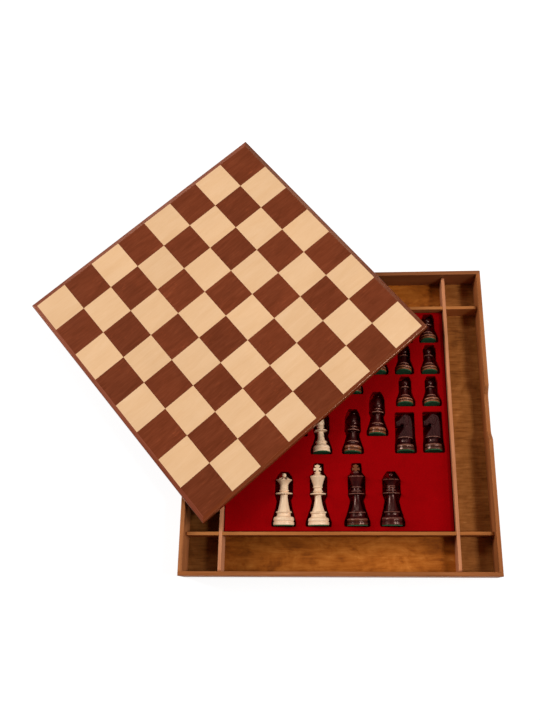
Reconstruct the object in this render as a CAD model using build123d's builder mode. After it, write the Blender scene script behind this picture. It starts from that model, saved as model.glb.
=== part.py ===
"""Square chess box with a lift-off playing board, a cut-out tray and 32 chessmen lying in it.

Frame: millimetres, +Z up, X to the right, Y to the back. The origin is the centre of the underside
of the box. The playing board lies turned across the open box, resting on the rim.
"""
from build123d import *
import math
import os

os.makedirs("parts", exist_ok=True)

# ---------------------------------------------------------------- case
BOX = 400.0            # outside length and width
WALL = 5.4             # wall thickness
HEIGHT = 44.0          # table to rim
PANEL = 4.0            # floor panel thickness
REBATE = 2.7           # how far the panel is let into each wall
ARRIS = 0.7            # eased edges of the rim
INSIDE = BOX - 2 * WALL

NOTCH_LENGTH = 70.0    # finger notch in the rim of each side wall
NOTCH_FLOOR = 50.0     # its flat length
NOTCH_DEPTH = 11.0
NOTCH_RADIUS = 8.0
NOTCH_LIP = 4.0
NOTCH_Y = 2.0

# ---------------------------------------------------------------- dividers
SLAT = 4.3             # divider thickness
SLAT_AT = 149.5        # divider centre lines from the middle of the box
FRONT_AT = -148.9      # the front divider stands a little further in
SLAT_TOP = 33.5        # board seat: 10.5 below the rim
SLAT_FIT = 0.05        # clearance at each face of a cross lap
SLAT_ROUND = 4.0       # rounded top corner at each end
LAP = (PANEL + SLAT_TOP) / 2

# ---------------------------------------------------------------- tray
TRAY = 292.6
BACKING = 2.0
TRAY_TOP = 23.5
SKIN = 0.8
BED = PANEL + BACKING  # the chessmen lie on the backing
MARGIN = 1.5           # free length at each end of a cut-out

# ---------------------------------------------------------------- playing board
SQUARE = 47.1
LIPPING = 5.7
BOARD = 8 * SQUARE + 2 * LIPPING
BOARD_THICK = 10.0
VENEER = 0.6
BOARD_X, BOARD_Y, BOARD_TURN = -150.5, 135.5, 41.05
BOARD_Z = HEIGHT + 0.1
SQUARE_GAP = 0.04
EDGE_ROUND = 1.8       # rounded top edge of the lipping

# ---------------------------------------------------------------- chessmen
FELT = 1.0             # felt disc under each base
FELT_INSET = 0.5
LIFT = 0.3             # free height under each man


def save(part, name):
    part.label = name
    export_step(part, f"parts/{name}.step")
    print(name, round(part.volume, 1), [round(v, 2) for v in part.bounding_box().size])


# ================================================================ case walls
for name, side in (("front_wall", -1), ("back_wall", 1)):
    y_out, y_in = side * BOX / 2, side * INSIDE / 2
    with BuildPart() as wall:
        with BuildSketch(Plane.YZ.offset(-BOX / 2)):
            with BuildLine():
                Polyline(
                    (y_out, 0), (y_out, HEIGHT), (y_in, HEIGHT), (y_in, PANEL),
                    (y_in + side * REBATE, PANEL), (y_in + side * REBATE, 0), close=True,
                )
            make_face()
        extrude(amount=BOX)
        # the rebate stops where the side walls' own rebate meets it
        with BuildSketch(Plane.XY):
            for end in (-1, 1):
                with Locations((end * (BOX / 2 - (WALL - REBATE) / 2), side * (INSIDE / 2 + REBATE / 2))):
                    Rectangle(WALL - REBATE, REBATE)
        extrude(amount=PANEL)
        fillet(wall.edges().filter_by(Axis.X).group_by(Axis.Z)[-1], ARRIS)
        fillet(wall.edges().filter_by(Axis.Z).filter_by(lambda e: abs(e.center().Y - y_out) < 0.1), ARRIS)
    save(wall.part, name)

for name, side in (("left_wall", -1), ("right_wall", 1)):
    x_out, x_in = side * BOX / 2, side * INSIDE / 2
    with BuildPart() as wall:
        with BuildSketch(Plane.XZ.offset(-INSIDE / 2)):
            with BuildLine():
                Polyline(
                    (x_out, 0), (x_out, HEIGHT), (x_in, HEIGHT), (x_in, PANEL),
                    (x_in + side * REBATE, PANEL), (x_in + side * REBATE, 0), close=True,
                )
            make_face()
        extrude(amount=INSIDE)
        # finger notch: flat bottomed, with ends that sweep up to the rim
        slope = (NOTCH_LENGTH - NOTCH_FLOOR) / 2 / NOTCH_DEPTH
        with BuildSketch(Plane.YZ.offset(-BOX / 2)) as notch:
            with BuildLine():
                Polyline(
                    (NOTCH_Y - NOTCH_LENGTH / 2 - 5 * slope, HEIGHT + 5), (NOTCH_Y - NOTCH_FLOOR / 2, HEIGHT - NOTCH_DEPTH),
                    (NOTCH_Y + NOTCH_FLOOR / 2, HEIGHT - NOTCH_DEPTH), (NOTCH_Y + NOTCH_LENGTH / 2 + 5 * slope, HEIGHT + 5),
                    close=True,
                )
            make_face()
            fillet(notch.vertices().group_by(Axis.Y)[0], NOTCH_RADIUS)
        extrude(amount=BOX, mode=Mode.SUBTRACT)
        fillet(wall.edges().filter_by(Axis.X).filter_by(
            lambda e: abs(e.center().Z - HEIGHT) < 0.1 and abs(abs(e.center().Y - NOTCH_Y) - NOTCH_LENGTH / 2) < 0.1), NOTCH_LIP)
        fillet(wall.edges().filter_by(Axis.Y).group_by(Axis.Z)[-1], ARRIS)
    save(wall.part, name)

with BuildPart() as base_panel:
    with BuildSketch(Plane.XY):
        Rectangle(INSIDE + 2 * REBATE, INSIDE + 2 * REBATE)
    extrude(amount=PANEL)
save(base_panel.part, "base_panel")

# ================================================================ dividers
# The side dividers run front to back and are slotted from below. The front and back dividers run
# across and are slotted from above, so the side dividers' tops pass over the crossings.
for name, at in (("left_divider", -SLAT_AT), ("right_divider", SLAT_AT)):
    with BuildPart() as slat:
        with BuildSketch(Plane.YZ.offset(at - SLAT / 2)):
            with Locations((0, (PANEL + SLAT_TOP) / 2)):
                Rectangle(INSIDE, SLAT_TOP - PANEL)
        extrude(amount=SLAT)
        fillet(slat.edges().filter_by(Axis.X).group_by(Axis.Z)[-1], SLAT_ROUND)
        with BuildSketch(Plane.XY.offset(PANEL)):
            for cross in (FRONT_AT, SLAT_AT):
                with Locations((at, cross)):
                    Rectangle(SLAT + 2, SLAT + 2 * SLAT_FIT)
        extrude(amount=LAP - PANEL, mode=Mode.SUBTRACT)
        fillet(slat.edges().filter_by(Axis.Y).group_by(Axis.Z)[-1], 0.5)
    save(slat.part, name)

for name, at in (("front_divider", FRONT_AT), ("back_divider", SLAT_AT)):
    with BuildPart() as slat:
        with BuildSketch(Plane.XZ.offset(-at - SLAT / 2)):
            with Locations((0, (PANEL + SLAT_TOP) / 2)):
                Rectangle(INSIDE, SLAT_TOP - PANEL)
        extrude(amount=SLAT)
        fillet(slat.edges().filter_by(Axis.Y).group_by(Axis.Z)[-1], SLAT_ROUND)
        fillet(slat.edges().filter_by(Axis.X).group_by(Axis.Z)[-1], 0.5)
        with BuildSketch(Plane.XY.offset(LAP)):
            for cross in (-SLAT_AT, SLAT_AT):
                with Locations((cross, at)):
                    Rectangle(SLAT + 2 * SLAT_FIT, SLAT + 2)
        extrude(amount=SLAT_TOP, mode=Mode.SUBTRACT)
    save(slat.part, name)

# ================================================================ chessmen: shapes
# Each turned shape is a run of (kind, points), radius first and height above the felt second.
LINE, ARC, CURVE = "line", "arc", "curve"


def ball(neck, radius, top):
    """A round finial: the point where its neck enters it, and the two points that finish its arc on the axis."""
    middle = top - radius
    return (neck, middle - math.sqrt(radius**2 - neck**2)), (radius, middle), (0, top)


QUEEN_BALL = ball(1.8, 2.9, 66.2)
BISHOP_BALL = ball(1.5, 2.2, 56.0)
PAWN_BALL = ball(3.3, 5.1, 36.4)

KING = [
    (LINE, (13.1, 1.0)), (ARC, (13.5, 1.5), (13.5, 2.1)), (LINE, (13.5, 3.5)), (ARC, (13.3, 4.2), (12.8, 4.5)),
    (LINE, (12.5, 4.6)), (LINE, (12.5, 5.1)), (LINE, (12.8, 5.3)), (ARC, (13.3, 6.9), (12.9, 8.4)),
    (ARC, (12.4, 9.4), (11.3, 9.9)), (CURVE, (9.9, 10.8), (9.2, 12.4)), (LINE, (9.1, 14.8)),
    (LINE, (9.7, 15.2)), (ARC, (10.6, 16.3), (9.7, 17.4)), (LINE, (8.0, 17.8)), (LINE, (7.9, 18.3)),
    (CURVE, (5.4, 26.3), (4.4, 32.0), (3.95, 37.9)), (LINE, (5.5, 38.2)), (LINE, (9.6, 38.7)),
    (ARC, (10.2, 39.5), (9.6, 40.3)), (LINE, (6.0, 41.2)), (LINE, (5.4, 41.5)), (LINE, (5.5, 42.0)),
    (LINE, (6.4, 42.2)), (ARC, (6.6, 42.9), (6.0, 43.6)), (LINE, (5.3, 44.0)), (LINE, (5.15, 46.4)),
    (LINE, (5.9, 47.0)), (ARC, (6.4, 47.9), (5.9, 48.8)), (LINE, (5.7, 49.3)), (CURVE, (7.0, 53.8), (9.4, 60.4)),
    (ARC, (9.6, 61.6), (9.1, 62.4)), (LINE, (6.5, 63.0)), (CURVE, (5.0, 63.8), (3.4, 65.3)), (LINE, (3.2, 65.9)),
    (ARC, (4.0, 66.8), (3.2, 67.7)), (LINE, (1.9, 68.0)), (LINE, (0, 68.0)),
]
QUEEN = [
    (LINE, (13.1, 1.0)), (ARC, (13.5, 1.5), (13.5, 2.1)), (LINE, (13.5, 3.9)), (ARC, (13.3, 4.6), (12.8, 4.9)),
    (LINE, (12.4, 5.0)), (LINE, (12.4, 5.6)), (LINE, (12.8, 5.8)), (ARC, (13.35, 7.7), (12.8, 9.8)),
    (ARC, (12.3, 10.7), (11.2, 11.2)), (CURVE, (9.6, 11.9), (8.8, 13.2)), (LINE, (8.7, 15.4)),
    (LINE, (9.3, 15.8)), (ARC, (10.3, 16.9), (9.3, 18.0)), (LINE, (8.1, 18.3)), (LINE, (8.0, 18.7)),
    (CURVE, (6.15, 26.4), (5.15, 32.0), (4.75, 38.4)), (LINE, (6.2, 38.9)), (LINE, (10.3, 39.4)),
    (ARC, (11.0, 40.2), (10.3, 41.0)), (LINE, (6.2, 41.8)), (LINE, (5.3, 42.2)), (LINE, (5.3, 42.7)),
    (LINE, (5.9, 43.0)), (ARC, (6.3, 43.9), (5.9, 44.8)), (LINE, (5.2, 45.2)), (LINE, (5.15, 46.4)),
    (ARC, (5.5, 47.2), (5.15, 48.0)), (LINE, (5.1, 48.5)), (ARC, (5.45, 49.3), (5.1, 50.1)), (LINE, (5.3, 50.9)),
    (CURVE, (6.6, 53.4), (8.5, 55.5), (10.0, 56.9)), (ARC, (10.3, 57.6), (9.8, 58.0)), (LINE, (8.7, 57.6)),
    (CURVE, (7.4, 58.7), (5.0, 60.2), (2.8, 60.9)), (LINE, QUEEN_BALL[0]), (ARC, *QUEEN_BALL[1:]),
]
BISHOP = [
    (LINE, (11.1, 1.0)), (ARC, (11.5, 1.5), (11.5, 2.1)), (LINE, (11.5, 3.3)), (ARC, (11.3, 4.0), (10.8, 4.3)),
    (LINE, (10.4, 4.4)), (LINE, (10.4, 4.9)), (LINE, (10.8, 5.1)), (ARC, (11.3, 6.9), (10.7, 8.7)),
    (CURVE, (9.4, 9.9), (7.7, 11.0), (7.0, 12.7)), (LINE, (6.9, 13.6)), (LINE, (7.3, 13.9)),
    (ARC, (7.9, 14.8), (7.3, 15.7)), (LINE, (5.9, 16.2)), (LINE, (5.8, 16.6)),
    (CURVE, (4.7, 20.8), (4.25, 25.0), (4.2, 28.6)), (LINE, (5.4, 28.9)), (LINE, (8.5, 29.4)),
    (ARC, (9.1, 30.1), (8.5, 30.8)), (LINE, (5.4, 31.5)), (LINE, (4.4, 32.0)), (LINE, (4.2, 33.8)),
    (LINE, (4.7, 34.4)), (ARC, (5.2, 35.3), (4.7, 36.2)), (LINE, (4.2, 36.6)), (LINE, (4.4, 37.0)),
    (CURVE, (5.4, 38.6), (5.8, 40.6), (5.5, 44.0), (4.3, 48.4), (2.3, 51.8)),
    (LINE, BISHOP_BALL[0]), (ARC, *BISHOP_BALL[1:]),
]
ROOK = [
    (LINE, (11.4, 1.0)), (ARC, (11.8, 1.5), (11.8, 2.1)), (LINE, (11.8, 3.3)), (ARC, (11.6, 4.0), (11.1, 4.3)),
    (LINE, (10.7, 4.4)), (LINE, (10.7, 4.9)), (LINE, (11.1, 5.1)), (ARC, (11.6, 6.9), (11.0, 8.7)),
    (CURVE, (9.9, 9.9), (8.6, 11.0), (8.1, 12.4)), (LINE, (8.0, 13.0)), (LINE, (8.5, 13.3)),
    (ARC, (9.1, 14.2), (8.5, 15.1)), (LINE, (7.5, 15.5)), (CURVE, (6.6, 19.5), (6.2, 24.0), (6.3, 28.6)),
    (LINE, (8.6, 29.2)), (ARC, (9.0, 29.9), (8.6, 30.6)), (LINE, (7.8, 31.4)), (CURVE, (8.2, 33.2), (9.0, 34.6)),
    (LINE, (9.2, 41.4)), (ARC, (9.1, 41.8), (8.7, 42.0)), (LINE, (6.3, 42.0)), (LINE, (6.1, 36.4)), (LINE, (0, 36.4)),
]
PAWN = [
    (LINE, (10.4, 1.0)), (ARC, (10.8, 1.5), (10.8, 2.0)), (LINE, (10.8, 2.9)), (ARC, (10.6, 3.5), (10.1, 3.8)),
    (LINE, (9.8, 3.9)), (LINE, (9.8, 4.3)), (LINE, (10.2, 4.5)), (ARC, (10.6, 5.7), (10.0, 7.1)),
    (CURVE, (8.2, 8.3), (6.5, 9.4), (6.0, 10.6)), (LINE, (5.9, 11.2)), (LINE, (6.2, 11.4)),
    (ARC, (6.7, 12.1), (6.2, 12.8)), (LINE, (4.9, 13.2)), (LINE, (4.8, 13.5)),
    (CURVE, (4.1, 16.6), (3.7, 19.6), (3.6, 23.2)), (LINE, (4.2, 23.4)), (LINE, (5.8, 23.7)),
    (ARC, (6.3, 24.3), (5.8, 24.9)), (LINE, (4.0, 25.6)), (LINE, (3.3, 26.0)), (LINE, PAWN_BALL[0]), (ARC, *PAWN_BALL[1:]),
]
KNIGHT_FOOT = [
    (LINE, (11.4, 1.0)), (ARC, (11.8, 1.5), (11.8, 2.1)), (LINE, (11.8, 3.3)), (ARC, (11.6, 4.0), (11.1, 4.3)),
    (LINE, (10.6, 4.4)), (LINE, (10.6, 4.9)), (LINE, (11.0, 5.1)), (ARC, (11.4, 6.9), (10.7, 8.7)),
    (CURVE, (9.4, 9.9), (7.7, 11.2), (7.1, 13.0)), (LINE, (7.0, 15.0)), (CURVE, (7.8, 16.3), (9.5, 17.0)),
    (ARC, (10.3, 17.9), (9.7, 18.8)), (LINE, (0, 19.2)),
]
# side view of the knight's head, nose towards -x: the whole outline, and the jaw that stands out from the neck
KNIGHT_HEAD = [
    (-10.2, 18.6), (-9.4, 20.6), (-6.6, 24.8), (-3.4, 29.0), (-1.4, 32.8), (-1.4, 36.0), (-4.8, 36.3), (-6.4, 34.3),
    (-10.6, 33.7), (-12.0, 34.9), (-12.0, 40.4), (-8.8, 41.4), (-7.0, 42.9), (-5.0, 45.4), (-2.4, 48.2), (1.4, 50.4),
    (5.2, 49.6), (8.0, 47.2), (9.6, 43.4), (10.4, 37.0), (10.6, 29.0), (10.4, 18.6),
]
KNIGHT_JAW = [
    (-4.8, 36.3), (-6.4, 34.3), (-10.6, 33.7), (-12.0, 34.9), (-12.0, 40.4), (-8.8, 41.4), (-7.0, 42.9), (-5.0, 45.4),
    (-2.4, 48.2), (1.4, 50.4), (3.6, 48.8), (5.6, 45.6), (6.3, 42.0), (5.8, 38.2), (4.2, 35.4), (1.6, 34.2), (-1.0, 35.0),
    (-1.4, 36.0),
]
# each man: its shape and how far its head dips below level as it lies, in degrees
MEN = {
    "king": (KING, -3.4),
    "queen": (QUEEN, -3.0),
    "bishop": (BISHOP, 5.4),
    "knight": (KNIGHT_FOOT, 4.2),
    "rook": (ROOK, 4.0),
    "pawn": (PAWN, 10.5),
}
# places on the +x half: centre line x and the y of the base; the other half is its mirror image
MIDDLE = -0.7          # mirror line of the cut-outs
PLACES = {
    "king": [(24.7, -138.6)],
    "queen": [(69.5, -138.6)],
    "bishop": [(20.8, -46.4), (53.6, -22.9)],
    "knight": [(90.0, -45.4), (126.6, -44.8)],
    "rook": [(22.0, 33.4), (22.0, 95.2)],
    "pawn": [(92.2, 17.6), (127.4, 17.6), (57.6, 61.6), (92.2, 61.6), (127.2, 61.6),
             (57.6, 105.8), (92.2, 105.8), (127.2, 105.8)],
}
# how single men lie a little askew in their cut-outs: x and y shift, turn in degrees
ASKEW = {
    "white_king": (0.0, 0.0, 1.0), "white_bishop_1": (0.3, 0.0, 3.0), "white_pawn_2": (0.2, 0.1, -1.6),
    "black_king": (0.4, 0.0, 0.9), "black_queen": (-0.4, 0.0, 0.0),
    "black_bishop_1": (-0.3, 0.0, -2.6), "black_bishop_2": (-0.2, 0.0, -3.0),
    "black_knight_1": (-0.1, 0.0, 0.0), "black_knight_2": (-0.1, 0.0, 0.0),
    "black_pawn_1": (0.0, 0.0, -1.8), "black_pawn_2": (0.2, 0.0, 2.2), "black_pawn_4": (-0.4, 0.6, -4.0),
    "black_pawn_5": (-0.4, 0.0, 1.0),
}
# cut-outs in the tray: half-width and height above the base, on the +x side
CUTOUTS = {
    "king": [(16.6, -MARGIN), (16.6, 4.5), (11.0, 21.0), (8.8, 30.5), (11.2, 37.0), (11.3, 55.0), (11.0, 61.5),
             (7.0, 66.5), (6.6, 77.0 + MARGIN)],
    "queen": [(15.8, -MARGIN), (15.8, 4.5), (11.2, 21.0), (9.4, 30.5), (11.8, 37.5), (11.6, 57.5), (9.6, 62.0),
              (5.2, 66.2 + MARGIN)],
    "bishop": [(14.4, -1.8), (14.4, 4.5), (11.0, 14.0), (8.6, 22.5), (10.9, 28.0), (10.4, 46.0), (8.6, 52.0),
               (5.4, 56.0 + MARGIN)],
    "knight": [(14.2, -2.2), (14.2, 6.0), (13.1, 18.0), (13.0, 50.4 + MARGIN)],
    "rook": [(14.0, -MARGIN), (14.0, 5.0), (10.8, 16.0), (10.8, 42.0 + MARGIN)],
    "pawn": [(13.0, -3.0), (13.0, 4.0), (8.6, 16.0), (8.6, 31.0), (6.0, 36.4 + MARGIN)],
}
CORNER = 2.2           # radius of a cut-out's corners


def all_places():
    """Every man: colour, kind, number, x, y of its base, and which way its side faces."""
    for colour, side in (("white", -1), ("black", 1)):
        for kind, spots in PLACES.items():
            for n, (x, y) in enumerate(spots, 1):
                name = f"{colour}_{kind}" + (f"_{n}" if len(spots) > 1 else "")
                yield name, kind, side * x + MIDDLE, y, side


# ================================================================ tray
with BuildPart() as tray_backing:
    with BuildSketch(Plane.XY.offset(PANEL)):
        Rectangle(TRAY, TRAY)
    extrude(amount=BACKING)
save(tray_backing.part, "tray_backing")

with BuildSketch() as cut_sheet:
    Rectangle(TRAY, TRAY)
    for name, kind, x, y, side in all_places():
        right = [(x + a, y + b) for a, b in CUTOUTS[kind]]
        left = [(x - a, y + b) for a, b in reversed(CUTOUTS[kind])]
        with BuildLine():
            Polyline(*right, *left, close=True)
        make_face(mode=Mode.SUBTRACT)
    fillet(cut_sheet.vertices().filter_by(lambda v: max(abs(v.X), abs(v.Y)) < TRAY / 2 - 0.1), CORNER)

with BuildPart() as tray_foam:
    with BuildSketch(Plane.XY.offset(BED)):
        add(cut_sheet.sketch)
    extrude(amount=TRAY_TOP - SKIN - BED)
save(tray_foam.part, "tray_foam")

with BuildPart() as tray_felt:
    with BuildSketch(Plane.XY.offset(TRAY_TOP - SKIN)):
        add(cut_sheet.sketch)
    extrude(amount=SKIN)
save(tray_felt.part, "tray_felt")


# ================================================================ chessmen: solids
def outline(shape):
    """The half section of a turned man, from its axis round to its axis again."""
    at = (0, FELT)
    first = at
    for kind, *points in shape:
        if kind == LINE:
            Line(at, points[-1])
        elif kind == ARC:
            ThreePointArc(at, *points)
        else:
            Spline(at, *points)
        at = points[-1]
    Line(at, first)


def reach(shape, s, c):
    """How far the lowest point of a turned man lying at this dip is below the middle of its base."""
    return max(r * c + h * s for kind, *points in shape for r, h in points)


for name, kind, x, y, side in all_places():
    shape, dip = MEN[kind]
    shift_x, shift_y, turn = ASKEW.get(name, (0.0, 0.0, 0.0))
    x, y = x + shift_x, y + shift_y
    s, c = math.sin(math.radians(dip)), math.cos(math.radians(dip))
    st, ct = math.sin(math.radians(turn)), math.cos(math.radians(turn))
    height = BED + LIFT + reach(shape, s, c)
    # lying on its side: local x is across, local y runs up the man
    upward = (-st * c, ct * c, -s)
    lying = Plane(origin=(x, y, height), x_dir=(ct, st, 0), z_dir=(-st * s, ct * s, c))
    foot = Plane(origin=(x, y, height), x_dir=(ct, st, 0), z_dir=upward)
    with BuildPart() as man:
        with BuildSketch(lying):
            with BuildLine():
                outline(shape)
            make_face()
        revolve(axis=Axis((x, y, height), upward))
        if kind == "king":
            with BuildSketch(lying):
                with BuildLine():
                    Polyline(
                        (-2.1, 67.0), (-1.4, 69.8), (-4.8, 69.0), (-4.8, 72.8), (-1.4, 72.1), (-3.5, 74.7), (-3.3, 75.6),
                        (0, 77.0), (3.3, 75.6), (3.5, 74.7), (1.4, 72.1), (4.8, 72.8), (4.8, 69.0), (1.4, 69.8),
                        (2.1, 67.0), close=True,
                    )
                make_face()
            extrude(amount=1.7, both=True)
        if kind == "queen":
            # eight hollows round the coronet
            for k in range(8):
                a = math.radians(45 * k + 22.5)
                out = lying.from_local_coords((0, 59.0, 0))
                across = lying.x_dir * math.cos(a) + lying.z_dir * math.sin(a)
                beside = lying.z_dir * math.cos(a) - lying.x_dir * math.sin(a)
                with BuildSketch(Plane(origin=out, x_dir=beside, z_dir=across)):
                    Circle(1.9)
                extrude(amount=12, mode=Mode.SUBTRACT)
        if kind == "bishop":
            # the mitre's slit
            with BuildSketch(lying):
                with Locations(Location((4.6, 46.4), 50)):
                    Rectangle(6.4, 1.0)
            extrude(amount=9, both=True, mode=Mode.SUBTRACT)
        if kind == "rook":
            # four gaps in the parapet
            with BuildSketch(foot.offset(39.2)):
                with Locations(Location((0, 0), 45)):
                    Rectangle(24, 2.6)
                    Rectangle(2.6, 24)
            extrude(amount=4.0, mode=Mode.SUBTRACT)
    if kind == "knight":
        with BuildPart() as head:
            with BuildSketch(lying.offset(-5.0)):
                with BuildLine():
                    Polyline(*[(side * a, b) for a, b in KNIGHT_HEAD], close=True)
                make_face()
            extrude(amount=10.0)
            chamfer(head.faces().filter_by(Axis(lying.origin, lying.z_dir)).edges(), 1.1)
        with BuildPart() as jaw:
            with BuildSketch(lying.offset(-5.7)):
                with BuildLine():
                    Polyline(*[(side * a, b) for a, b in KNIGHT_JAW], close=True)
                make_face()
            extrude(amount=11.4)
            chamfer(jaw.faces().filter_by(Axis(lying.origin, lying.z_dir)).edges(), 1.0)
            # eyes and mouth
            for face in (-1, 1):
                with BuildSketch(lying.offset(face * 5.7)):
                    with Locations((side * -1.6, 44.6)):
                        Circle(0.8)
                    with Locations(Location((side * -9.6, 36.4), side * -8)):
                        Rectangle(4.2, 0.5)
                extrude(amount=-face * 0.7, mode=Mode.SUBTRACT)
        with BuildPart() as carved:
            add(man.part)
            add(head.part)
            add(jaw.part)
        man = carved
    with BuildPart() as felt:
        with BuildSketch(foot):
            Circle(shape[0][-1][0] + 0.4 - FELT_INSET)
        extrude(amount=FELT)
    whole = Compound(children=[*man.part.solids(), *felt.part.solids()])
    save(whole, name)

# ================================================================ playing board
TURN = math.radians(BOARD_TURN)
ALONG = (math.cos(TURN), math.sin(TURN), 0)


def board_plane(z):
    return Plane(origin=(BOARD_X, BOARD_Y, BOARD_Z + z), x_dir=ALONG, z_dir=(0, 0, 1))


CORE = 8 * SQUARE
with BuildPart() as lid_back_veneer:
    with BuildSketch(board_plane(0)):
        Rectangle(CORE, CORE)
    extrude(amount=VENEER)
save(lid_back_veneer.part, "lid_back_veneer")

with BuildPart() as lid_core:
    with BuildSketch(board_plane(VENEER)):
        Rectangle(CORE, CORE)
    extrude(amount=BOARD_THICK - 2 * VENEER)
save(lid_core.part, "lid_core")

for name, odd in (("light_squares", 0), ("dark_squares", 1)):
    with BuildPart() as squares:
        with BuildSketch(board_plane(BOARD_THICK - VENEER)):
            for i in range(8):
                for j in range(8):
                    if (i + j) % 2 == odd:
                        with Locations(((i - 3.5) * SQUARE, (3.5 - j) * SQUARE)):
                            Rectangle(SQUARE - SQUARE_GAP, SQUARE - SQUARE_GAP)
        extrude(amount=VENEER)
    save(squares.part, name)

for name, turn in (("lid_lipping_south_east", 0), ("lid_lipping_north_east", 90),
                   ("lid_lipping_north_west", 180), ("lid_lipping_south_west", 270)):
    a = TURN + math.radians(turn)
    place = Plane(origin=(BOARD_X, BOARD_Y, BOARD_Z), x_dir=(math.cos(a), math.sin(a), 0), z_dir=(0, 0, 1))
    with BuildPart() as lipping:
        with BuildSketch(place):
            with BuildLine():
                Polyline((-CORE / 2, -CORE / 2), (CORE / 2, -CORE / 2),
                         (BOARD / 2, -BOARD / 2), (-BOARD / 2, -BOARD / 2), close=True)
            make_face()
        extrude(amount=BOARD_THICK)
        outward = Vector(math.sin(a), -math.cos(a), 0)
        centre = Vector(BOARD_X, BOARD_Y, 0)
        long_edges = lipping.edges().filter_by(
            lambda e: e.length > CORE + 5 and abs((e.center() - centre).dot(outward) - BOARD / 2) < 0.1
            and abs(e.tangent_at(0.5).Z) < 0.1
        )
        fillet(long_edges.group_by(Axis.Z)[-1], EDGE_ROUND)
        fillet(lipping.edges().filter_by(
            lambda e: e.length > CORE + 5 and abs((e.center() - centre).dot(outward) - BOARD / 2) < 0.1
            and abs(e.tangent_at(0.5).Z) < 0.1
        ).group_by(Axis.Z)[0], 0.8)
    save(lipping.part, name)
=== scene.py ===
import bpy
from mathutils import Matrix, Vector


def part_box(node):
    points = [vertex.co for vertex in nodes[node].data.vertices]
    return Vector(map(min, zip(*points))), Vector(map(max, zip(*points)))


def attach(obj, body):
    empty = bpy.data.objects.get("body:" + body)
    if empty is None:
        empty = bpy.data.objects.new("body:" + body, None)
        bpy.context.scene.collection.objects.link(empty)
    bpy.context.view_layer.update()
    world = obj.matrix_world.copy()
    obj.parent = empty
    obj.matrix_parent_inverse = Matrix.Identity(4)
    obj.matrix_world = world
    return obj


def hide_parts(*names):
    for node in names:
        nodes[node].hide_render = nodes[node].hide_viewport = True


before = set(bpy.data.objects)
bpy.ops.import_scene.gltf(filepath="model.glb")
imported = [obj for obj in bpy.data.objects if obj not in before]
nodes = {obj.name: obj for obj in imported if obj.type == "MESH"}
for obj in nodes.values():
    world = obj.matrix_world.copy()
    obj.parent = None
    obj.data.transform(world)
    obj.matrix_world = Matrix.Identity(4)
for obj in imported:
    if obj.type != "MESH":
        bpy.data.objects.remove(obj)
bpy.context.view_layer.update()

import math

import bmesh
import bpy
import numpy as np
from mathutils import Vector, noise
from mathutils.geometry import delaunay_2d_cdt

scene = bpy.context.scene

# ---------------------------------------------------------------- camera: the photograph's own angle
F_PX, CX, CY = 836.7261, 301.8281, 275.5
cam_data = bpy.data.cameras.new("camera")
cam = bpy.data.objects.new("camera", cam_data)
scene.collection.objects.link(cam)
cam.location = (0.0165582, -0.2343612, 1.0886823 + 0.044)
cam.rotation_euler = (math.radians(21.587), math.radians(3.247), math.radians(0.259))
cam_data.sensor_width = 36.0
cam_data.sensor_fit = "AUTO"
cam_data.lens = F_PX * 36.0 / 720.0
cam_data.shift_x = (270.0 - CX) / 720.0
cam_data.shift_y = (CY - 360.0) / 720.0
cam_data.clip_start = 0.01
cam_data.clip_end = 50.0
scene.camera = cam

# ---------------------------------------------------------------- light
scene.view_settings.view_transform = "Standard"
scene.view_settings.look = "None"
scene.view_settings.exposure = 0.0
scene.view_settings.gamma = 1.0

world = bpy.data.worlds.new("studio")
scene.world = world
world.use_nodes = True
world.node_tree.nodes["Background"].inputs["Color"].default_value = (1.0, 1.0, 1.0, 1.0)
world.node_tree.nodes["Background"].inputs["Strength"].default_value = 0.08


def softbox(name, place, target, size, power, colour=(1.0, 1.0, 1.0)):
    data = bpy.data.lights.new(name, "AREA")
    data.shape = "RECTANGLE"
    data.size, data.size_y = size
    data.energy = power
    data.color = colour
    ob = bpy.data.objects.new(name, data)
    scene.collection.objects.link(ob)
    ob.location = place
    ob.rotation_euler = (Vector(target) - Vector(place)).to_track_quat("-Z", "Y").to_euler()
    return ob


softbox("key", (0.95, -0.28, 1.56), (0.0, 0.0, 0.03), (0.28, 0.28), 12.6)
softbox("left_box", (-2.18, 0.58, 1.34), (0.0, 0.0, 0.03), (0.5, 1.25), 42.0)
softbox("right_box", (2.20, 0.0, 1.42), (0.0, 0.0, 0.03), (0.5, 1.25), 24.0)
softbox("back_box", (0.0, 1.02, 1.56), (0.0, 0.0, 0.03), (2.4, 0.34), 8.0)


# ---------------------------------------------------------------- node helpers
def srgb(r, g, b):
    def one(v):
        v /= 255.0
        return v / 12.92 if v <= 0.04045 else ((v + 0.055) / 1.055) ** 2.4
    return (one(r), one(g), one(b), 1.0)


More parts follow.
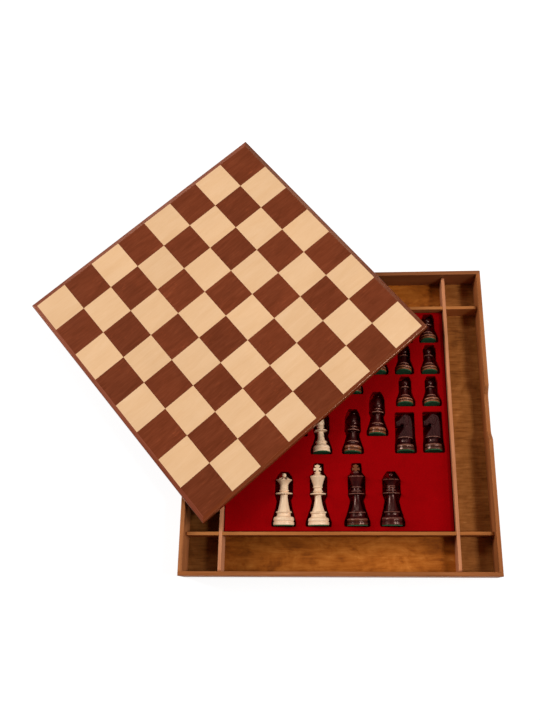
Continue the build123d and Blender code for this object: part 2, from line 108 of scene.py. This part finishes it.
class Tree:
    def __init__(self, name):
        self.m = bpy.data.materials.new(name)
        self.m.use_nodes = True
        self.t = self.m.node_tree
        self.t.nodes.clear()
        self.out = self.t.nodes.new("ShaderNodeOutputMaterial")
        self.bsdf = self.t.nodes.new("ShaderNodeBsdfPrincipled")
        self.t.links.new(self.bsdf.outputs[0], self.out.inputs["Surface"])
        self.x = -200

    def node(self, kind, **settings):
        n = self.t.nodes.new(kind)
        self.x -= 20
        n.location = (self.x, 0)
        for k, v in settings.items():
            setattr(n, k, v)
        return n

    def put(self, socket, value):
        if isinstance(value, bpy.types.NodeSocket):
            self.t.links.new(value, socket)
        else:
            socket.default_value = value

    def coords(self):
        return self.node("ShaderNodeTexCoord").outputs["Object"]

    def mapping(self, vector, scale=(1, 1, 1), turn=(0, 0, 0), move=(0, 0, 0)):
        n = self.node("ShaderNodeMapping", vector_type="POINT")
        self.put(n.inputs["Vector"], vector)
        self.put(n.inputs["Scale"], scale)
        self.put(n.inputs["Rotation"], turn)
        self.put(n.inputs["Location"], move)
        return n.outputs["Vector"]

    def noise(self, vector, scale=1.0, detail=3.0, rough=0.5, warp=0.0):
        n = self.node("ShaderNodeTexNoise", noise_dimensions="3D")
        self.put(n.inputs["Vector"], vector)
        self.put(n.inputs["Scale"], scale)
        self.put(n.inputs["Detail"], detail)
        self.put(n.inputs["Roughness"], rough)
        self.put(n.inputs["Distortion"], warp)
        return n.outputs["Fac"]

    def math(self, op, a, b=0.0, c=0.0, clamp=False):
        n = self.node("ShaderNodeMath", operation=op, use_clamp=clamp)
        self.put(n.inputs[0], a)
        self.put(n.inputs[1], b)
        self.put(n.inputs[2], c)
        return n.outputs[0]

    def vmath(self, op, a, b=(0, 0, 0)):
        n = self.node("ShaderNodeVectorMath", operation=op)
        self.put(n.inputs[0], a)
        self.put(n.inputs[1], b)
        return n.outputs["Vector"]

    def spread(self, value, low, high, to_low=0.0, to_high=1.0):
        n = self.node("ShaderNodeMapRange", clamp=True)
        self.put(n.inputs["Value"], value)
        for k, v in (("From Min", low), ("From Max", high), ("To Min", to_low), ("To Max", to_high)):
            self.put(n.inputs[k], v)
        return n.outputs["Result"]

    def ramp(self, value, stops):
        n = self.node("ShaderNodeValToRGB")
        while len(n.color_ramp.elements) > 1:
            n.color_ramp.elements.remove(n.color_ramp.elements[-1])
        n.color_ramp.elements[0].position = stops[0][0]
        n.color_ramp.elements[0].color = stops[0][1]
        for at, colour in stops[1:]:
            n.color_ramp.elements.new(at).color = colour
        self.put(n.inputs["Fac"], value)
        return n.outputs["Color"]

    def mix(self, fac, a, b, kind="MIX"):
        n = self.node("ShaderNodeMix", data_type="RGBA", blend_type=kind)
        self.put(n.inputs["Factor"], fac)
        self.put(n.inputs["A"], a) if False else self.put(n.inputs[6], a)
        self.put(n.inputs[7], b)
        return n.outputs[2]

    def shade(self, colour, factor):
        """colour multiplied by a grey factor."""
        n = self.node("ShaderNodeVectorMath", operation="SCALE")
        self.put(n.inputs[0], colour)
        self.put(n.inputs["Scale"], factor)
        return n.outputs["Vector"]

    def bump(self, height, strength, distance):
        n = self.node("ShaderNodeBump")
        self.put(n.inputs["Height"], height)
        self.put(n.inputs["Strength"], strength)
        self.put(n.inputs["Distance"], distance)
        return n.outputs["Normal"]

    def finish(self, colour, rough, normal=None, **more):
        self.put(self.bsdf.inputs["Base Color"], colour)
        self.put(self.bsdf.inputs["Roughness"], rough)
        if normal is not None:
            self.put(self.bsdf.inputs["Normal"], normal)
        for k, v in more.items():
            self.put(self.bsdf.inputs[k.replace("_", " ")], v)
        return self.m


WARM = (1.0, 0.66, 0.46, 1.0)


# tone of the painted highlight on the ring crests
CREST_HIGHLIGHT = srgb(184, 120, 98)


def wood(name, dark, mid, light, turn=(0, 0, 0), seed=0.0, broad=(2.2, 34, 34), fibre=(14, 420, 420),
         pores=0.35, mottle=0.25, rough=(0.42, 0.56), bump=0.12, coat=0.0, size=1.0, specular=0.16, tint=WARM,
         highlight_bands=None):
    """Straight-grained timber. turn brings the grain direction onto the texture's x. The last argument carries painted
    highlight on a turned man: its foot and axis, the tone, how much of it shows at the foot and head, and its rings
    with their share."""
    t = Tree(name)
    p = t.mapping(t.coords(), turn=turn, move=(seed * 1.37, seed * 0.71, seed * 2.13))
    b = t.noise(t.mapping(p, scale=tuple(v * size for v in broad)), 1.0, 6.0, 0.62, 0.6)
    f = t.noise(t.mapping(p, scale=tuple(v * size for v in fibre)), 1.0, 3.0, 0.6, 0.1)
    po = t.noise(t.mapping(p, scale=(55 * size, 1500 * size, 1500 * size)), 1.0, 1.0, 0.5)
    mo = t.noise(p, 14.0 * size, 3.0, 0.55, 0.4)
    b = t.spread(b, 0.28, 0.72)
    f = t.spread(f, 0.25, 0.75)
    value = t.math("ADD", t.math("MULTIPLY", b, 0.58), t.math("MULTIPLY", f, 0.42))
    colour = t.ramp(value, [(0.12, dark), (0.5, mid), (0.9, light)])
    pore = t.spread(po, 0.60, 0.74)
    colour = t.shade(colour, t.spread(pore, 0.0, 1.0, 1.0, 1.0 - pores))
    colour = t.shade(colour, t.spread(mo, 0.25, 0.75, 1.0 - mottle / 2, 1.0 + mottle / 2))
    if highlight_bands is not None:
        foot, axis, tone, foot_share, head_share, rings, ring_share = highlight_bands
        n = t.node("ShaderNodeVectorMath", operation="DOT_PRODUCT")
        t.put(n.inputs[0], t.vmath("SUBTRACT", t.coords(), foot))
        t.put(n.inputs[1], axis)
        up = t.math("MULTIPLY", n.outputs["Value"], 1000.0)
        # painted highlight: golden bands on the foot rings and on the king's cross, where the lights catch them
        patch = t.spread(t.noise(p, 260.0, 2.0, 0.6), 0.3, 0.62, 0.6, 1.0)
        low = t.math("MULTIPLY", t.spread(up, 3.0, 3.6, 1.0, 0.0), t.spread(up, 0.9, 1.4))
        high = t.math("MULTIPLY", t.spread(up, 4.6, 5.4), t.spread(up, 7.6, 9.4, 1.0, 0.0))
        share = t.math("MULTIPLY", t.math("ADD", low, high), foot_share)
        if head_share > 0.0:
            share = t.math("ADD", share, t.spread(up, 67.6, 68.4, 0.0, head_share))
        colour = t.mix(t.math("MULTIPLY", share, patch), colour, tone)
        # painted highlight: a light tan line on the crest of each ring, where the lights catch it
        crest = 0.0
        for at in rings:
            away = t.math("ABSOLUTE", t.math("SUBTRACT", up, at))
            crest = t.math("MAXIMUM", t.spread(away, 0.25, 0.80, ring_share, 0.0), crest)
        colour = t.mix(crest, colour, CREST_HIGHLIGHT)
    r = t.spread(f, 0.0, 1.0, rough[0], rough[1])
    h = t.math("SUBTRACT", t.math("MULTIPLY", f, 0.6), pore)
    return t.finish(colour, r, t.bump(h, bump, 0.0006), Coat_Weight=coat, Coat_Roughness=0.25,
                    Specular_IOR_Level=specular, Specular_Tint=tint)


QUARTER = math.radians(90)

# ---------------------------------------------------------------- case
def dress(node, material):
    nodes[node].data.materials.clear()
    nodes[node].data.materials.append(material)


# the walls are one wood: RIM_LIT is RIM with painted light for the front and right walls, and the left wall's copy is
# painted lighter still for the light falling on its inner face
RIM = (srgb(104, 56, 26), srgb(140, 82, 46), srgb(164, 104, 64))
RIM_LIT = (srgb(114, 61, 26), srgb(152, 88, 46), srgb(176, 111, 66))
RIM_LEFT_PAINTED_LIGHT = (srgb(132, 76, 40), srgb(172, 106, 62), srgb(194, 130, 82))
for n, (node, tones) in enumerate((("front_wall", RIM_LIT), ("back_wall", RIM))):
    dress(node, wood(f"wall_{node}", *tones, seed=1.0 + n, pores=0.25, mottle=0.22))
for n, (node, tones) in enumerate((("left_wall", RIM_LEFT_PAINTED_LIGHT), ("right_wall", RIM_LIT))):
    dress(node, wood(f"wall_{node}", *tones, turn=(0, 0, QUARTER), seed=4.0 + n, pores=0.25, mottle=0.22))
SLAT = (srgb(160, 92, 56), srgb(188, 121, 82), srgb(204, 140, 100))
CROSS = (srgb(130, 70, 28), srgb(162, 96, 46), srgb(184, 118, 66))
for n, node in enumerate(("front_divider", "back_divider")):
    dress(node, wood(f"slat_{node}", *CROSS, seed=7.0 + n, pores=0.2, mottle=0.22))
# painted light: the left divider gets a lighter copy of the SLAT tones, for the light falling on its face
SLAT_LEFT_PAINTED_LIGHT = (srgb(176, 106, 68), srgb(202, 136, 96), srgb(216, 154, 114))
for n, (node, tones) in enumerate((("left_divider", SLAT_LEFT_PAINTED_LIGHT), ("right_divider", SLAT))):
    dress(node, wood(f"slat_{node}", *tones, turn=(0, 0, QUARTER), seed=9.0 + n, pores=0.2, mottle=0.2))


def figured_floor(name):
    """Stained plywood: blotchy flame figure along x in front and behind, fine cross ripple in the side bays."""
    t = Tree(name)
    p = t.coords()
    flame = t.noise(t.mapping(p, scale=(26, 60, 60)), 1.0, 5.0, 0.62, 1.6)
    blotch = t.noise(p, 34.0, 4.0, 0.6, 0.9)
    ripple = t.noise(t.mapping(p, scale=(45, 380, 45)), 1.0, 3.0, 0.6, 0.35)
    fibre = t.noise(t.mapping(p, scale=(40, 620, 620)), 1.0, 3.0, 0.6)
    split = t.node("ShaderNodeSeparateXYZ")
    t.put(split.inputs[0], p)
    side = t.spread(t.math("ABSOLUTE", split.outputs["X"]), 0.148, 0.152)
    front = t.math("ADD", t.math("MULTIPLY", t.spread(flame, 0.3, 0.7), 0.6), t.math("MULTIPLY", t.spread(blotch, 0.3, 0.7), 0.4))
    ends = t.math("ADD", t.math("MULTIPLY", t.spread(ripple, 0.28, 0.72), 0.55), t.math("MULTIPLY", t.spread(blotch, 0.3, 0.7), 0.45))
    v = t.math("ADD", t.math("MULTIPLY", front, t.math("SUBTRACT", 1.0, side)), t.math("MULTIPLY", ends, side))
    v = t.math("ADD", t.math("MULTIPLY", v, 0.82), t.math("MULTIPLY", t.spread(fibre, 0.25, 0.75), 0.18))
    colour = t.ramp(v, [(0.12, srgb(112, 52, 12)), (0.45, srgb(162, 86, 24)), (0.75, srgb(186, 108, 40)), (0.95, srgb(212, 144, 70))])
    sides = t.ramp(v, [(0.12, srgb(106, 56, 17)), (0.45, srgb(148, 88, 37)), (0.75, srgb(172, 108, 52)), (0.95, srgb(200, 138, 76))])
    colour = t.mix(side, colour, sides)
    # painted shade: the floor darkens towards its left end, under the lid's shadow
    colour = t.shade(colour, t.spread(split.outputs["X"], -0.15, 0.06, 0.52, 1.0))
    return t.finish(colour, t.spread(fibre, 0.0, 1.0, 0.45, 0.6), t.bump(fibre, 0.1, 0.0004), Specular_IOR_Level=0.10,
                    Specular_Tint=WARM)


dress("base_panel", figured_floor("floor_ply"))


# ---------------------------------------------------------------- playing board
BOARD = (-0.1505, 0.1355)
TURN = math.radians(41.05)
C, S = math.cos(-TURN), math.sin(-TURN)
TO_BOARD = (-(C * BOARD[0] - S * BOARD[1]), -(S * BOARD[0] + C * BOARD[1]), 0.0)


def board_coords(t):
    """Coordinates in the board's own frame: x up the files, y across, origin at its middle."""
    return t.mapping(t.coords(), turn=(0, 0, -TURN), move=TO_BOARD)


def square_random(t, p):
    """Three random numbers for the square under each point."""
    n = t.node("ShaderNodeVectorMath", operation="FLOOR")
    t.put(n.inputs[0], t.vmath("MULTIPLY", p, (1 / 0.0471, 1 / 0.0471, 0.0)))
    w = t.node("ShaderNodeTexWhiteNoise", noise_dimensions="3D")
    t.put(w.inputs["Vector"], t.vmath("ADD", n.outputs["Vector"], (0.5, 0.5, 3.5)))
    return w.outputs["Value"], w.outputs["Color"]


def veneer(name, dark, mid, light, ribbon, fibre_share, fleck, mottle, tone, rough, bump, specular):
    t = Tree(name)
    p = board_coords(t)
    value, rnd = square_random(t, p)
    # each square is its own leaf of veneer: shift the figure by a random amount
    q = t.vmath("ADD", p, t.vmath("MULTIPLY", rnd, (3.0, 3.0, 3.0)))
    b = t.spread(t.noise(t.mapping(q, scale=ribbon), 1.0, 4.0, 0.55, 0.8), 0.25, 0.75)
    f = t.spread(t.noise(t.mapping(q, scale=(60, 700, 700)), 1.0, 3.0, 0.6, 0.2), 0.25, 0.75)
    flecks = t.spread(t.noise(t.mapping(q, scale=(130, 900, 900)), 1.0, 2.0, 0.5, 0.2), 0.58, 0.76)
    where = t.spread(t.noise(q, 40.0, 2.0, 0.5, 0.6), 0.45, 0.65)
    mo = t.noise(q, 24.0, 3.0, 0.5, 0.5)
    v = t.math("ADD", t.math("MULTIPLY", b, 1.0 - fibre_share), t.math("MULTIPLY", f, fibre_share))
    colour = t.ramp(v, [(0.1, dark), (0.5, mid), (0.9, light)])
    colour = t.shade(colour, t.spread(t.math("MULTIPLY", flecks, where), 0.0, 1.0, 1.0, 1.0 + fleck))
    colour = t.shade(colour, t.spread(mo, 0.25, 0.75, 1.0 - mottle / 2, 1.0 + mottle / 2))
    colour = t.shade(colour, t.spread(value, 0.0, 1.0, 1.0 - tone / 2, 1.0 + tone / 2))
    return t.finish(colour, t.spread(f, 0.0, 1.0, *rough), t.bump(f, bump, 0.0004), Specular_IOR_Level=specular,
                    Specular_Tint=WARM)


dress("light_squares", veneer("light_veneer", srgb(226, 180, 133), srgb(230, 186, 141), srgb(234, 192, 149), (9, 60, 60),
                              0.35, 0.02, 0.05, 0.05, (0.5, 0.6), 0.03, 0.12))
dress("dark_squares", veneer("dark_veneer", srgb(100, 43, 19), srgb(113, 51, 27), srgb(126, 61, 35), (20, 130, 130),
                             0.5, 0.60, 0.20, 0.18, (0.46, 0.58), 0.08, 0.10))
t = Tree("board_core")
dress("lid_core", t.finish(t.ramp(t.noise(t.coords(), 900.0, 2.0), [(0.3, srgb(120, 84, 56)), (0.7, srgb(150, 108, 74))]), 0.8))
t = Tree("back_veneer")
p = board_coords(t)
b = t.spread(t.noise(t.mapping(p, scale=(3, 90, 90)), 1.0, 5.0, 0.6, 0.4), 0.28, 0.72)
f = t.spread(t.noise(t.mapping(p, scale=(24, 700, 700)), 1.0, 3.0, 0.6), 0.25, 0.75)
v = t.math("ADD", t.math("MULTIPLY", b, 0.6), t.math("MULTIPLY", f, 0.4))
dress("lid_back_veneer", t.finish(t.ramp(v, [(0.1, srgb(92, 38, 18)), (0.5, srgb(118, 56, 30)), (0.9, srgb(142, 76, 46))]), 0.5,
                                  t.bump(f, 0.1, 0.0005), Specular_IOR_Level=0.3, Specular_Tint=WARM))
# the lipping is one wood all round; its tones per side carry painted light and shade: LIP on the south-west and
# north-west is lighter, the south-east and north-east copies are darker, after how the light falls on each side
LIP = (srgb(108, 46, 28), srgb(130, 62, 40), srgb(150, 80, 56))
LIP_SE_PAINTED_SHADE = (srgb(98, 42, 16), srgb(115, 50, 21), srgb(131, 62, 30))
LIP_NE_PAINTED_SHADE = (srgb(90, 38, 17), srgb(109, 49, 24), srgb(127, 63, 35))
for n, (node, turn, tones) in enumerate((("lid_lipping_south_east", 0, LIP_SE_PAINTED_SHADE), ("lid_lipping_north_east", 90, LIP_NE_PAINTED_SHADE),
                                         ("lid_lipping_north_west", 0, LIP), ("lid_lipping_south_west", 90, LIP))):
    dress(node, wood(f"lipping_{n}", *tones, turn=(0, 0, -TURN + math.radians(turn)), seed=20.0 + n, pores=0.2, mottle=0.15,
                     rough=(0.22, 0.3), specular=0.7))


# ---------------------------------------------------------------- tray
def flock(name, tones, seed, nap_bump, edge=None):
    t = Tree(name)
    p = t.mapping(t.coords(), move=(seed, seed, seed))
    nap = t.noise(p, 2600.0, 2.0, 0.6)
    lay = t.noise(p, 38.0, 3.0, 0.5, 0.6)
    colour = t.ramp(nap, [(0.25, tones[0]), (0.55, tones[1]), (0.85, tones[2])])
    colour = t.shade(colour, t.spread(lay, 0.3, 0.7, 0.93, 1.07))
    if edge:
        # painted shade: the felt darkens along its front edge, the shadowed gap against the front divider
        split = t.node("ShaderNodeSeparateXYZ")
        t.put(split.inputs[0], t.coords())
        colour = t.shade(colour, t.spread(split.outputs["Y"], edge + 0.0006, edge + 0.0018, 0.25, 1.0))
    return t.finish(colour, 0.95, t.bump(nap, nap_bump, 0.0003), Specular_IOR_Level=0.03)


RED = flock("red_felt", (srgb(122, 0, 2), srgb(144, 0, 4), srgb(164, 2, 8)), 0.0, 0.5, -0.1463)
PIT = flock("pocket_foam", (srgb(122, 0, 4), srgb(140, 0, 5), srgb(156, 1, 8)), 1.0, 0.4)
PIT_FLOOR = flock("pocket_floor", (srgb(116, 0, 4), srgb(134, 0, 5), srgb(150, 1, 8)), 2.0, 0.4)
dress("tray_backing", PIT_FLOOR)


def rims(node):
    """The closed outlines of a flat node's top face, as loops of (x, y), each with the material on its left."""
    mesh = nodes[node].data
    xyz = np.empty(len(mesh.vertices) * 3)
    mesh.vertices.foreach_get("co", xyz)
    xyz = xyz.reshape(-1, 3)
    top = xyz[:, 2].max()
    key = {}
    at = []
    place = []
    for x, y, z in xyz:
        k = (round(x * 1e6), round(y * 1e6)) if z > top - 1e-5 else None
        if k is not None and k not in key:
            key[k] = len(place)
            place.append((float(x), float(y)))
        at.append(None if k is None else key[k])
    sides = {}
    for poly in mesh.polygons:
        ring = [at[v] for v in poly.vertices]
        if None in ring:
            continue
        for a, b in zip(ring, ring[1:] + ring[:1]):
            if a != b:
                sides[(a, b)] = sides.get((a, b), 0) + 1
    after = {a: b for (a, b) in sides if (b, a) not in sides}
    loops = []
    while after:
        a, b = after.popitem()
        loop = [a]
        while b != loop[0]:
            loop.append(b)
            b = after.pop(b)
        loops.append([place[i] for i in loop])
    return loops, float(top)


def even(loop, step):
    """The same outline with its long runs divided."""
    out = []
    for (x0, y0), (x1, y1) in zip(loop, loop[1:] + loop[:1]):
        n = max(1, math.ceil(math.hypot(x1 - x0, y1 - y0) / step))
        out += [(x0 + (x1 - x0) * k / n, y0 + (y1 - y0) * k / n) for k in range(n)]
    return out


def into(loop):
    """Unit vectors at a loop's points that lead into the material, on its left."""
    out = []
    n = len(loop)
    for i in range(n):
        v = Vector((0.0, 0.0))
        for a, b in ((loop[i - 1], loop[i]), (loop[i], loop[(i + 1) % n])):
            d = Vector((b[0] - a[0], b[1] - a[1]))
            if d.length > 1e-9:
                d.normalize()
                v += Vector((-d.y, d.x))
        out.append(v.normalized() if v.length > 1e-6 else Vector((0.0, 0.0)))
    return out


def inside(points, loops):
    """Which points lie in the material, by the even-odd rule."""
    px, py = points[:, 0], points[:, 1]
    odd = np.zeros(len(points), bool)
    for loop in loops:
        a = np.array(loop)
        b = np.roll(a, -1, axis=0)
        for (x0, y0), (x1, y1) in zip(a, b):
            if y0 == y1:
                continue
            hit = ((y0 > py) != (y1 > py)) & (px < (x1 - x0) * (py - y0) / (y1 - y0) + x0)
            odd ^= hit
    return odd


def cut_slab(name, loops, profile, ripple, swell):
    """A slab with cut-outs. profile runs from its top to its underside as (distance into the material, z)."""
    lines = [even(loop, 0.003) for loop in loops]
    ways = [into(line) for line in lines]
    start = profile[0][0]
    inset = [[(x + w.x * start, y + w.y * start) for (x, y), w in zip(line, way)] for line, way in zip(lines, ways)]
    grid = np.arange(-0.144, 0.1441, 0.0048)
    gx, gy = np.meshgrid(grid, grid)
    mids = np.stack([gx.ravel(), gy.ravel()], 1)
    shrunk = [[(x + w.x * 0.0022, y + w.y * 0.0022) for (x, y), w in zip(line, way)] for line, way in zip(lines, ways)]
    mids = mids[inside(mids, shrunk)]
    flat = [Vector(p) for line in inset for p in line] + [Vector((float(x), float(y))) for x, y in mids]
    edges = []
    first = 0
    for line in inset:
        n = len(line)
        edges += [(first + i, first + (i + 1) % n) for i in range(n)]
        first += n
    rim_count = first
    points, _, faces, source, _, _ = delaunay_2d_cdt(flat, edges, [], 0, 1e-7)
    where = [s[0] if s else -1 for s in source]
    tri = [f for f in faces if len(f) == 3 and all(where[i] >= 0 for i in f)]
    middle = np.array([[sum(points[i][k] for i in f) / 3 for k in (0, 1)] for f in tri])
    keep = inside(middle, inset)
    tri = [[where[i] for i in f] for f, k in zip(tri, keep) if k]
    bm = bmesh.new()
    rows = []
    all_lines = [p for line in lines for p in line]
    all_ways = [w for way in ways for w in way]
    for row, (depth, z) in enumerate(profile):
        verts = []
        for k, ((x, y), w) in enumerate(zip(all_lines, all_ways)):
            d = depth
            if ripple and 0 < row < len(profile) - 1:
                d += ripple * (0.5 + 0.5 * noise.noise((x * 160.0, y * 160.0, z * 160.0)))
            verts.append(bm.verts.new((x + w.x * d, y + w.y * d, z)))
        rows.append(verts)
    tops = rows[0] + [bm.verts.new((x, y, profile[0][1] + swell * noise.noise((x * 42.0, y * 42.0, 3.0)))) for x, y in mids]
    lows = rows[-1] + [bm.verts.new((x, y, profile[-1][1])) for x, y in mids]
    for a, b, c in tri:
        bm.faces.new((tops[a], tops[b], tops[c]))
        bm.faces.new((lows[c], lows[b], lows[a]))
    for up, down in zip(rows, rows[1:]):
        for a, b in edges:
            bm.faces.new((up[b], up[a], down[a], down[b]))
    loose = [v for v in bm.verts if not v.link_faces]
    bmesh.ops.delete(bm, geom=loose, context="VERTS")
    bmesh.ops.recalc_face_normals(bm, faces=bm.faces)
    for f in bm.faces:
        f.smooth = True
    mesh = bpy.data.meshes.new(name)
    bm.to_mesh(mesh)
    bm.free()
    ob = bpy.data.objects.new(name, mesh)
    scene.collection.objects.link(ob)
    return ob


loops, felt_top = rims("tray_felt")
foam_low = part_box("tray_foam")[0][2]
felt_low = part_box("tray_felt")[0][2]
R = 0.0008
roll = [(R - R * math.sin(math.radians(a)), felt_top - R + R * math.cos(math.radians(a))) for a in (0, 22, 45, 68, 90)]
roll[-1] = (0.0, felt_low + 0.00002)
felt = cut_slab("felt_sheet", loops, roll, 0.0, 0.00012)
felt.data.materials.append(RED)
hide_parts("tray_felt")
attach(felt, "box")

deep = felt_low - foam_low
walls = [(0.0009, felt_low), (0.0003, felt_low - 0.0003)]
walls += [(0.0, felt_low - 0.0009 - (deep - 0.0018) * k / 5) for k in range(6)] + [(0.0004, foam_low)]
foam = cut_slab("foam_bed", loops, walls, 0.0004, 0.0)
foam.data.materials.append(PIT)
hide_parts("tray_foam")
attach(foam, "box")

# ---------------------------------------------------------------- chessmen
t = Tree("felt_disc")
nap = t.noise(t.coords(), 2200.0, 3.0, 0.6)
FELT = t.finish(t.ramp(nap, [(0.3, srgb(32, 70, 44)), (0.6, srgb(48, 90, 58)), (0.85, srgb(70, 112, 74))]), 0.95,
                t.bump(nap, 0.6, 0.0004), Specular_IOR_Level=0.05)


def man_wood(name, dark, mid, light, seed, rough, pores, specular, tint, bump, highlight_bands=None):
    # turned from stock whose grain runs up the man, which lies along y
    return wood(name, dark, mid, light, turn=(0, 0, QUARTER), seed=seed, broad=(5, 130, 130), fibre=(30, 900, 900),
                pores=pores, mottle=0.12, rough=rough, bump=bump, specular=specular, tint=tint, highlight_bands=highlight_bands)


PALE = [man_wood(f"boxwood_{n}", srgb(220, 178, 138), srgb(234, 197, 160), srgb(242, 210, 176), 31.0 + n, (0.28, 0.36), 0.06, 0.45, (1.0, 0.86, 0.74, 1.0), 0.03)
        for n in range(4)]
# painted highlight on each dark man: its tone, how much of it shows at the foot and at the head, the heights of the
# rings and their share
HIGHLIGHT_BANDS = {"king": (srgb(140, 80, 48), 0.22, 0.62, (8.0, 16.3, 39.5, 42.9, 47.9, 61.4, 66.8), 0.26),
        "queen": (srgb(126, 66, 54), 0.16, 0.0, (9.2, 16.9, 40.2, 43.9, 47.2, 49.3, 57.2), 0.24),
        "bishop": (srgb(158, 94, 52), 0.62, 0.0, (7.8, 14.8, 30.1, 35.3), 0.55),
        "knight": (srgb(128, 80, 54), 0.35, 0.0, (7.8, 17.9), 0.32),
        "rook": (srgb(150, 88, 50), 0.45, 0.0, (7.8, 14.2, 29.9), 0.5),
        "pawn": (srgb(160, 96, 54), 0.65, 0.0, (6.4, 12.1, 24.3), 0.58)}


def lying(mesh):
    """Where a man's foot is and which way its head points, read from its felt disc."""
    felt = sorted({v for poly in mesh.polygons if poly.material_index == 1 for v in poly.vertices})
    disc = np.array([mesh.vertices[i].co[:] for i in felt])
    every = np.array([v.co[:] for v in mesh.vertices])
    middle = disc.mean(0)
    axis = np.linalg.svd(disc - middle, full_matrices=False)[2][2]
    if np.dot(every.mean(0) - middle, axis) < 0:
        axis = -axis
    foot = middle - axis * 0.0005
    return tuple(round(float(v), 6) for v in foot), tuple(round(float(v), 6) for v in axis)


def dark_man(name, mesh, n):
    kind = name.split("_")[1]
    tone, low, high, rings, share = HIGHLIGHT_BANDS[kind]
    # painted shade: the knights get a darker copy of the dark stain, for the shade on their broad flat sides
    base = (srgb(28, 6, 8), srgb(42, 10, 13), srgb(60, 20, 22)) if kind == "knight" else (srgb(32, 6, 7), srgb(52, 12, 12), srgb(74, 24, 20))
    shine = 0.38 if kind in ("king", "queen") else 0.6
    return man_wood(f"dark_stain_{name}", *base, 41.0 + n, (0.22, 0.27), 0.15, shine, (1.0, 0.62, 0.50, 1.0), 0.01,
                    (*lying(mesh), tone, low, high, rings, share))


def felt_faces(mesh):
    """Marks the faces of a man's felt disc, the smaller of its two solids."""
    key = {}
    same = [key.setdefault(tuple(round(c * 2e5) for c in v.co), i) for i, v in enumerate(mesh.vertices)]
    root = list(range(len(mesh.vertices)))

    def find(i):
        while root[i] != i:
            root[i] = root[root[i]]
            i = root[i]
        return i

    for poly in mesh.polygons:
        a = find(same[poly.vertices[0]])
        for v in poly.vertices[1:]:
            root[find(same[v])] = a
    groups = {}
    for poly in mesh.polygons:
        groups.setdefault(find(same[poly.vertices[0]]), []).append(poly)
    size = {}
    for g, polys in groups.items():
        pts = [mesh.vertices[i].co for poly in polys for i in poly.vertices]
        size[g] = max(max(p[k] for p in pts) - min(p[k] for p in pts) for k in (1,))
    small = min(size, key=size.get)
    for g, polys in groups.items():
        for poly in polys:
            poly.material_index = 1 if g == small else 0
    return len(groups)


men = sorted(name for name in nodes if name.startswith(("white_", "black_")))
for count, name in enumerate(men):
    mesh = nodes[name].data
    mesh.materials.clear()
    mesh.materials.append(PALE[count % 4])
    mesh.materials.append(FELT)
    parts = felt_faces(mesh)
    if name.startswith("black_"):
        mesh.materials[0] = dark_man(name, mesh, count)
    if parts != 2:
        print("solids seen in", name, parts)

# ---------------------------------------------------------------- floor
bpy.ops.mesh.primitive_plane_add(size=40.0, location=(0, 0, -0.0002))
floor = bpy.context.object
floor.name = "floor"
t = Tree("floor_paper")
grain = t.noise(t.coords(), 300.0, 2.0)
t.finish(t.ramp(grain, [(0.0, (0.23, 0.23, 0.23, 1)), (1.0, (0.25, 0.25, 0.25, 1))]), 0.9,
         Emission_Color=(1.0, 1.0, 1.0, 1.0), Emission_Strength=0.86, Specular_IOR_Level=0.0)
floor.data.materials.append(t.m)
